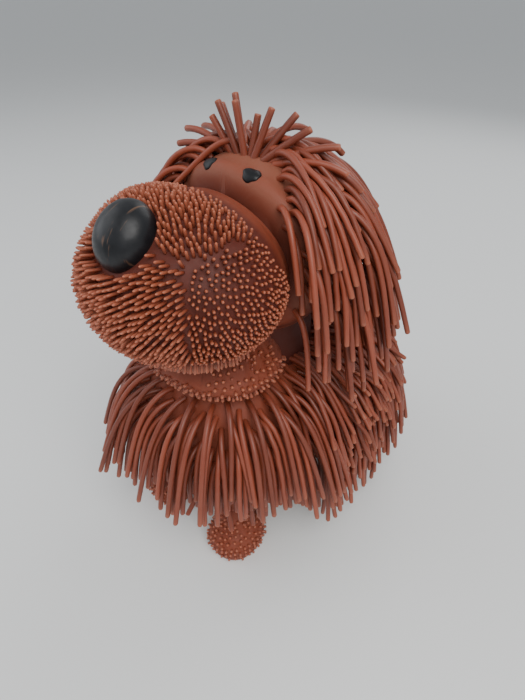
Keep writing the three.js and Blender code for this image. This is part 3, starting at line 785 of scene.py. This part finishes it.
def settle(roots, ways, lengths, stiff):
    # strands start straight out of the skin and come to rest, keeping their length
    count, number, step = len(roots), strand["nodes"], strand["step"]
    link = (lengths / (number - 1))[:, None]
    places = roots[:, None] + ways[:, None] * (link * np.arange(number))[..., None]
    speed = np.zeros_like(places)
    bend = (strand["droop"] * stiff / link[:, 0] ** 4)[:, None, None]
    bend = np.minimum(bend, strand["stiffest"] / step ** 2)
    fixed = places[:, :strand["rootStiff"]].copy()
    # the spots tested for touching are the nodes and the middles between them
    owner = np.repeat(np.arange(count), number * 2 - 1)
    order = np.tile(np.arange(number * 2 - 1), count)
    for turn in range(strand["settle"]):
        lap = places[:, :-2] - 2 * places[:, 1:-1] + places[:, 2:]
        curl = np.zeros_like(places)
        curl[:, :-2] -= lap
        curl[:, 1:-1] += 2 * lap
        curl[:, 2:] -= lap
        force = curl * bend
        force[..., 2] -= strand["gravity"]
        speed = (speed + force * step) * strand["drag"]
        fresh = places + speed * step
        for _ in range(3):
            keepLengths(fresh, link)
            fresh[:, :strand["rootStiff"]] = fixed
        if turn % strand["pushEvery"] == 0:
            spots = np.empty((count, number * 2 - 1, 3))
            spots[:, 0::2], spots[:, 1::2] = fresh, (fresh[:, :-1] + fresh[:, 1:]) / 2
            flat = spots.reshape(-1, 3)
            if turn % strand["lookEvery"] == 0:
                pairs = strandPairs(flat, owner, order)
            shift = pushApart(flat, pairs, strand["thick"] * 1.02).reshape(spots.shape)
            push = shift[:, 0::2].copy()
            push[:, :-1] += shift[:, 1::2] * 0.5
            push[:, 1:] += shift[:, 1::2] * 0.5
            fresh += np.clip(push * strand["hold"], -strand["topPush"], strand["topPush"])
            fresh = keepOut(fresh, strand["thick"] / 2, strandSolids)
            fresh[:, :strand["rootStiff"]] = fixed
        speed = np.clip((fresh - places) / step, -strand["topSpeed"], strand["topSpeed"])
        places = fresh
    return places


def smoothLine(points, count):
    # Catmull-Rom through every strand's nodes
    number = points.shape[1]
    before, after = 2 * points[:, :1] - points[:, 1:2], 2 * points[:, -1:] - points[:, -2:-1]
    padded = np.concatenate([before, points, after], 1)
    place = np.linspace(0, number - 1, count)
    base = np.minimum(place.astype(int), number - 2)
    t = (place - base)[None, :, None]
    a, b, c, d = (padded[:, base + k] for k in range(4))
    return 0.5 * (2 * b + (c - a) * t + (2 * a - 5 * b + 4 * c - d) * t * t
                  + (3 * b - a - 3 * c + d) * t ** 3)


def strandTree():
    tree, start, end = nodeTree("strands from lines", [
        ("Width", "NodeSocketFloat", 0.0023), ("Sides", "NodeSocketInt", 7),
        ("Material", "NodeSocketMaterial", None)])
    link = tree.links.new
    curve = tree.nodes.new("GeometryNodeMeshToCurve")
    link(start.outputs["Geometry"], curve.inputs["Mesh"])
    circle = tree.nodes.new("GeometryNodeCurvePrimitiveCircle")
    circle.inputs["Radius"].default_value = 1.0
    link(start.outputs["Sides"], circle.inputs["Resolution"])
    half = mathNode(tree, "MULTIPLY", start.outputs["Width"], 0.5)
    tube = tree.nodes.new("GeometryNodeCurveToMesh")
    tube.inputs["Fill Caps"].default_value = True
    link(curve.outputs["Curve"], tube.inputs["Curve"])
    link(circle.outputs["Curve"], tube.inputs["Profile Curve"])
    link(mathNode(tree, "MULTIPLY", half, readAttribute(tree, "taper")), tube.inputs["Scale"])
    return endTree(tree, start, end, tube.outputs["Mesh"])


strandsFromLines = strandTree()


def strandPiece(name, lines, tints, rings=strand["rings"], width=strand["thick"]):
    # one mesh of round strands with blunt rounded ends
    drawn = smoothLine(lines, rings)
    last, before = drawn[:, -1:], drawn[:, -2:-1]
    rounded = [last + (before - last) * 0.25, last, last + (last - before) * 0.12]
    drawn = np.concatenate([drawn[:, :-1], *rounded], 1)
    count, number = drawn.shape[:2]
    along = np.linspace(0, 1, number)
    taper = 1.06 - 0.14 * along
    taper[-3:] = (0.90, 0.72, 0.34)
    # painted light: the strand ends lightened as if lit through
    tip = np.clip((along - 0.80) / 0.2, 0, 1) * 0.55
    tip[-3:] = (0.6, 0.75, 0.8)
    first = np.arange(count)[:, None] * number + np.arange(number - 1)
    edges = np.stack([first, first + 1], -1).reshape(-1, 2)
    mesh = bpy.data.meshes.new(name + " lines")
    mesh.from_pydata((drawn.reshape(-1, 3) * mm).tolist(), edges.tolist(), [])
    floatLayer(mesh, "taper", np.tile(taper, count))
    floatLayer(mesh, "tip", np.tile(tip, count))
    floatLayer(mesh, "tint", np.repeat(tints, number))
    values = {"Width": width * mm, "Sides": strand["sides"], "Material": strandRubber}
    piece = runTree(newObject(name + " lines", mesh), strandsFromLines, values, name)
    print(name, count, "strands", len(piece.data.polygons), "faces")
    return piece


coat = {
    "spacing": (4.1, 6.2), "low": 38.0, "longest": 60, "swell": 1.04, "parting": (-30, 46), "sides": (-22, 44),
    "hemFront": 42.0, "hemSide": 13.0, "hemCorner": 12.0, "corner": (34, -50), "cornerWide": 30,
    "chestStiff": 2.2, "sideStiff": 0.6, "tousle": 0.13,
}
mane = {"spacing": (4.3, 5.6), "length": (36, 60), "rings": 30, "tousle": 0.09}
crown = {
    # each strand: place across the brow, place back from its edge, lean across, back and up, length, curl
    "strands": [
        (-15, 0, -1.00, -0.25, 0.25, 25, 0.9), (-13, 1, -1.00, -0.05, 0.50, 26.5, 1.0),
        (-11, 2, -0.95, 0.3, 0.45, 29.6, 0.9), (-9, 0, -0.62, -0.20, 1.0, 15.8, 0.2),
        (-7, 2, -0.55, 0.05, 1.0, 19.1, 0.3), (-4.5, 0, -0.42, -0.12, 1.0, 20.5, 0.3),
        (-2.3, 1.5, -0.30, 0.10, 1.0, 21.8, 0.3), (-0.4, 0, -0.20, -0.05, 1.0, 19.8, 0.2),
        (2, 1, 0.05, 0.20, 1.0, 15.2, 0.2), (4.2, 0, 0.22, 0.30, 1.0, 19.1, 0.2),
        (6.2, 2, 0.45, 0.55, 0.9, 20.5, 0.3), (8.2, 0, 0.65, 0.40, 0.6, 21.8, 0.3),
        (10.2, 1, 0.90, 0.60, 0.45, 27.3, 0.5), (12.2, 0, 1.00, 0.45, 0.30, 29.6, 0.9),
        (14.2, 1, 1.00, 0.60, 0.25, 34.3, 1.1), (-5.5, 4, -0.7, 0.9, 0.6, 34.3, 1.1),
        (0.8, 4, 0.1, 1.0, 0.6, 34.3, 1.1), (6.8, 5, 0.5, 1.0, 0.5, 35.9, 1.1)],
    "stiffness": 724.34,
}


def parting(points, front, back):
    # the way outwards from the middle line of the back
    nearest = np.clip(points[:, 1], front, back)
    out = np.stack([points[:, 0], points[:, 1] - nearest, np.zeros(len(points))], 1)
    out[:, 0] += np.where(points[:, 0] >= 0, 1, -1) * 2.0
    return out / np.linalg.norm(out, axis=1, keepdims=True)


def clearWay(roots, ways, solids, margin):
    # true where a strand can start out without meeting the head
    free = np.ones(len(roots), dtype=bool)
    for reach in (3, 7, 12, 18):
        for shape in solids:
            free &= gap(roots + ways * reach, shape)[0] > margin
    return free


def coatRoots(rng):
    # where the coat's strands stand, which way they start, how long and how stiff they are
    chestGap, chestOut = gap(bodyVerts, shapes["chest"])
    rumpGap, rumpOut = gap(bodyVerts, shapes["rump"])
    out = np.where((chestGap < rumpGap)[:, None], chestOut, rumpOut)
    height = np.clip((bodyVerts[:, 2] - body["straight"]) / 38, 0, 1)[:, None]   # 1 along the back
    ways = out * (1 - 0.45 * height) + parting(bodyVerts, *coat["parting"]) * 0.8 * height
    ways[:, 2] = np.clip(ways[:, 2], -0.6, -0.05)
    ways /= np.linalg.norm(ways, axis=1, keepdims=True)
    headSolids = [{**shapes["muzzle"], "radii": (45, 43, 38)}, turningJaw, shapes["cranium"]]
    allowed = (bodyVerts[:, 2] > coat["low"]) & clearWay(bodyVerts, ways, headSolids, 1.6)
    high = np.clip((bodyVerts[:, 2] - 60) / 26, 0, 1)   # roots stand closer higher up
    spacing = coat["spacing"][1] + (coat["spacing"][0] - coat["spacing"][1]) * high
    picked = scatterRoots(bodyVerts, allowed, spacing, rng)
    roots = bodyVerts[picked]
    forward = np.clip((-8 - roots[:, 1]) / 34, 0, 1)   # 0 on the flanks, 1 on the chest
    hem = coat["hemSide"] + (coat["hemFront"] - coat["hemSide"]) * forward
    # the coat is pushed up over one front leg
    offX, offY = roots[:, 0] - coat["corner"][0], roots[:, 1] - coat["corner"][1]
    hem += coat["hemCorner"] * np.exp(-(offX ** 2 + offY ** 2) / coat["cornerWide"] ** 2)
    lengths = np.clip((roots[:, 2] - hem) * coat["swell"] + 6, 12, coat["longest"])
    lengths *= rng.uniform(0.80, 1.08, len(roots))
    stiff = coat["sideStiff"] + (coat["chestStiff"] - coat["sideStiff"]) * forward
    return roots, ways[picked], lengths, stiff


def maneRoots(rng):
    # the same for the mane, behind a line that runs down from the brow
    craniumGap, out = gap(headVerts, shapes["cranium"])
    muzzleGap = gap(headVerts, shapes["muzzle"])[0]
    middle = shapes["cranium"]["centre"]
    sideways = np.abs(headVerts[:, 0])
    behind = headVerts[:, 1] > middle[1] - 4 - 0.80 * np.clip(sideways - 13, 0, None)
    allowed = (np.abs(craniumGap) < 2.4) & (muzzleGap > 4.5) & behind & (headVerts[:, 2] > middle[2] - 16)
    high = np.clip((headVerts[:, 2] - middle[2]) / 30, 0, 1)
    spacing = mane["spacing"][1] + (mane["spacing"][0] - mane["spacing"][1]) * high
    picked = scatterRoots(headVerts, allowed, spacing, rng)
    ways = out[picked] * 0.75 + parting(headVerts[picked], middle[1] - 2, middle[1] + 4) * 0.5 + (0, 0, -0.12)
    low, high = mane["length"]
    back = np.clip((headVerts[picked, 1] - middle[1] + 8) / 26, 0, 1)   # the mane is longer behind
    lengths = low + (high - low) * (0.35 * rng.random(len(picked)) + 0.65 * back)
    return headVerts[picked], ways, lengths * (1 + 0.25 * (rng.random(len(picked)) > 0.8))


def crownLines():
    # thick strands that stand up and curl over a little by their own weight
    brow = shapes["cranium"]["centre"][1] - 5.5
    lines = []
    for across, behind, leanX, leanY, leanZ, length, curl in crown["strands"]:
        y = brow + 0.02 * across * across + behind
        z = craniumTop(across, y) - 0.6
        way = np.array((leanX, leanY, leanZ))
        way /= np.linalg.norm(way)
        place, line = np.array((across, y, z), dtype=float), []
        part = length / (strand["nodes"] - 1)
        for step in range(strand["nodes"]):
            line.append(place.copy())
            along = step * part
            way = way + np.array((0, 0, -1.0)) * curl * part * (along + 6) / crown["stiffness"]
            way /= np.linalg.norm(way)
            place += way * part
            distance, out = gap(place, shapes["cranium"])
            place += out * max(0.0, strand["thick"] / 2 - distance) * (step > 1)
        lines.append(line)
    return np.array(lines)


def makeStrands():
    rng = np.random.default_rng(strand["seed"])
    bodyRoots, bodyWays, bodyLengths, bodyStiff = coatRoots(rng)
    headRoots, headWays, headLengths = maneRoots(rng)
    roots = np.vstack([bodyRoots, headRoots])
    ways = np.vstack([bodyWays, headWays])
    tousle = np.repeat((coat["tousle"], mane["tousle"]), (len(bodyRoots), len(headRoots)))
    ways += rng.normal(0, 1, ways.shape) * tousle[:, None]
    ways /= np.linalg.norm(ways, axis=1, keepdims=True)
    print("settling", len(bodyRoots), "coat strands and", len(headRoots), "mane strands")
    stiff = np.concatenate([bodyStiff, np.ones(len(headRoots))]) * rng.uniform(0.75, 1.3, len(roots))
    lines = settle(roots, ways, np.concatenate([bodyLengths, headLengths]), stiff)
    tints = rng.random(len(roots))
    onBody = np.arange(len(roots)) < len(bodyRoots)
    x, y = roots[:, 0], roots[:, 1]
    front, back = coat["sides"]
    flank = onBody & (y >= front) & (y <= back)
    quarters = {
        "coat_chest": onBody & (y < front), "coat_back": onBody & (y > back),
        "coat_left": flank & (x >= 0), "coat_right": flank & (x < 0),
    }
    for name, chosen in quarters.items():
        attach(strandPiece(name, lines[chosen], tints[chosen]), "chassis")
    for name, side, node in (("mane_left", 1, "ear_fringe_left"), ("mane_right", -1, "ear_fringe_right")):
        chosen = ~onBody & (x * side > 0)
        piece = strandPiece(name, lines[chosen], tints[chosen], mane["rings"])
        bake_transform(piece)
        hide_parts(node)
    lines = crownLines()
    piece = strandPiece("crown_strands", lines, rng.random(len(lines)), width=strand["crownThick"])
    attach(piece, "head")
    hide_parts("crown_tuft")


makeStrands()


# paws: soft boots with short bumps and a smooth rim round a flat sole
paw = {
    "around": 64, "down": 40, "spacing": 2.5, "radius": 0.7, "length": 1.5, "seed": 7,
    "foot": (13.4, 15.4, 13.0), "shin": (8.2, 8.2, 17.0), "soft": 4.0, "sole": 0.02,
    "cleft": 0.9, "toe": 4.4, "rim": 2.6, "cuff": 27,   # bumps lie between the rim and the cuff
}


def makePaw(end, side):
    node, leg = f"paw_skin_{end}_{side}", f"leg_{end}_{side}"
    low, high = nodeBox(node)
    middle = (low + high) / 2
    ankle = middle[0] - math.copysign(2, middle[0])
    foot = {"centre": (middle[0], middle[1] + 1.4, 6.0), "radii": paw["foot"], "power": 2.4}
    shin = {"centre": (ankle, middle[1] + 2, 14.0), "radii": paw["shin"], "power": 3.5}

    def field(points):
        return softJoin(gap(points, foot)[0], gap(points, shin)[0], paw["soft"])

    verts = castOut((middle[0], middle[1], 8.0), ballDirections(paw["around"], paw["down"]), field, 45, 60)
    verts[:, 2] = np.maximum(verts[:, 2], paw["sole"])
    # two shallow clefts at the front mark the toes
    front = np.clip((middle[1] - verts[:, 1]) / 14, 0, 1)
    toes = (-paw["toe"], paw["toe"])
    cleft = sum(np.exp(-((verts[:, 0] - middle[0] - offset) / 1.1) ** 2) for offset in toes)
    verts[:, 1] += paw["cleft"] * cleft * front * (verts[:, 2] > 1)
    faces = ballFaces(paw["around"], paw["down"])
    piece = meshPiece(f"paw_{end}_{side}", verts, faces, skinRubber, leg)
    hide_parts(node)
    footGap, footOut = gap(verts, foot)
    shinGap, shinOut = gap(verts, shin)
    out = np.where((footGap < shinGap)[:, None], footOut, shinOut)
    cover = (verts[:, 2] > paw["rim"]) & (verts[:, 2] < paw["cuff"])
    reach = np.full(len(verts), paw["length"])
    spikyCoat(f"paw_bumps_{end}_{side}", leg, paw, verts, faces, cover.astype(float), out, reach)


for end in ("front", "hind"):
    for side in ("left", "right"):
        makePaw(end, side)
print("paws made")


# finishes of the plastic and metal pieces inside
def plainFinish(name, colour, roughness, metallic=0.0, grain=900.0, variation=0.12):
    material, nodes, links, shader = shaderTree(name)
    darker = tuple(c * (1 - variation) for c in colour)
    paler = tuple(min(1.0, c * (1 + variation)) for c in colour)
    tone = ramp(nodes, links, noise(nodes, links, 120), [(0.3, darker), (0.7, paler)])
    links.new(tone, shader.inputs["Base Color"])
    roughen(nodes, links, shader, 400, roughness - 0.08, roughness + 0.1, 0.7)
    shader.inputs["Metallic"].default_value = metallic
    bump(nodes, links, shader, noise(nodes, links, grain, 2.0), 0.08, 0.0001)
    return material


insideFinishes = {
    "white_plastic": plainFinish("moulded white plastic", (0.74, 0.72, 0.66), 0.45),
    "grey_plastic": plainFinish("grey gear plastic", (0.27, 0.29, 0.31), 0.42),
    "black_plastic": plainFinish("black plastic", (0.022, 0.022, 0.025), 0.48),
    "circuit_board": plainFinish("green board lacquer", (0.02, 0.15, 0.055), 0.3, variation=0.3),
    "steel": plainFinish("drawn steel", (0.52, 0.53, 0.55), 0.28, 1.0, 1800.0),
    "brass": plainFinish("turned brass", (0.62, 0.42, 0.14), 0.3, 1.0, 1800.0),
    "cell_wrap": plainFinish("cell wrap", (0.05, 0.12, 0.34), 0.3),
}
for entry in frame["record"]["subparts"]:
    if entry["material_slot"] in insideFinishes:
        coats = frame["nodes"][entry["node"]].data.materials
        coats.clear()
        coats.append(insideFinishes[entry["material_slot"]])
bpy.data.objects.remove(oneSpike, do_unlink=True)   # the pattern for the spikes isn't a piece
print("inside pieces finished")


# stage, light and camera
view = {
    "place": (0.1368, -0.1568, 0.248), "right": (0.743, 0.669, 0.0175), "down": (0.413, -0.438, -0.798),
    "lens": 25.0,
}
stage = {"floor": 60, "floorColour": (0.76, 0.77, 0.77), "sky": (0.86, 0.89, 0.92), "skyStrength": 0.55}
lights = {
    "key": {"place": (0.55, -0.35, 0.85), "size": 0.7, "power": 9.0, "colour": (1.0, 0.98, 0.95)},
    "fill": {"place": (-0.7, -0.5, 0.6), "size": 0.9, "power": 3.5, "colour": (0.95, 0.97, 1.0)},
    "back": {"place": (-0.1, 0.8, 0.7), "size": 0.8, "power": 3.0, "colour": (1.0, 1.0, 1.0)},
}


def makeFloor():
    bpy.ops.mesh.primitive_plane_add(size=stage["floor"], location=(0, 0, 0))
    floor = bpy.context.object
    floor.name = "floor"
    material, _, _, shader = shaderTree("pale floor")
    shader.inputs["Base Color"].default_value = (*stage["floorColour"], 1)
    shader.inputs["Roughness"].default_value = 0.6
    floor.data.materials.append(material)


def makeWorld():
    world = bpy.data.worlds.new("studio")
    world.use_nodes = True
    background = world.node_tree.nodes["Background"]
    background.inputs["Color"].default_value = (*stage["sky"], 1)
    background.inputs["Strength"].default_value = stage["skyStrength"]
    bpy.context.scene.world = world


def softLight(name, place, size, power, colour):
    light = bpy.data.lights.new(name, "AREA")
    light.size = size
    light.energy = power
    light.color = colour
    lamp = newObject(name, light)
    lamp.location = place
    aim = Vector((0, 0, 0.1))
    lamp.rotation_euler = (aim - Vector(place)).to_track_quat("-Z", "Y").to_euler()


def makeCamera():
    camera = bpy.data.cameras.new("camera")
    camera.lens = view["lens"]
    camera.sensor_width = 36
    camera.clip_start = 0.01
    eye = newObject("camera", camera)
    right = Vector(view["right"]).normalized()
    down = Vector(view["down"])
    back = right.cross(-down).normalized()
    up = back.cross(right)
    eye.matrix_world = Matrix.Translation(view["place"]) @ Matrix((right, up, back)).transposed().to_4x4()
    bpy.context.scene.camera = eye


makeFloor()
makeWorld()
for name, light in lights.items():
    softLight(name, **light)
makeCamera()
print("floor, lights and camera set")
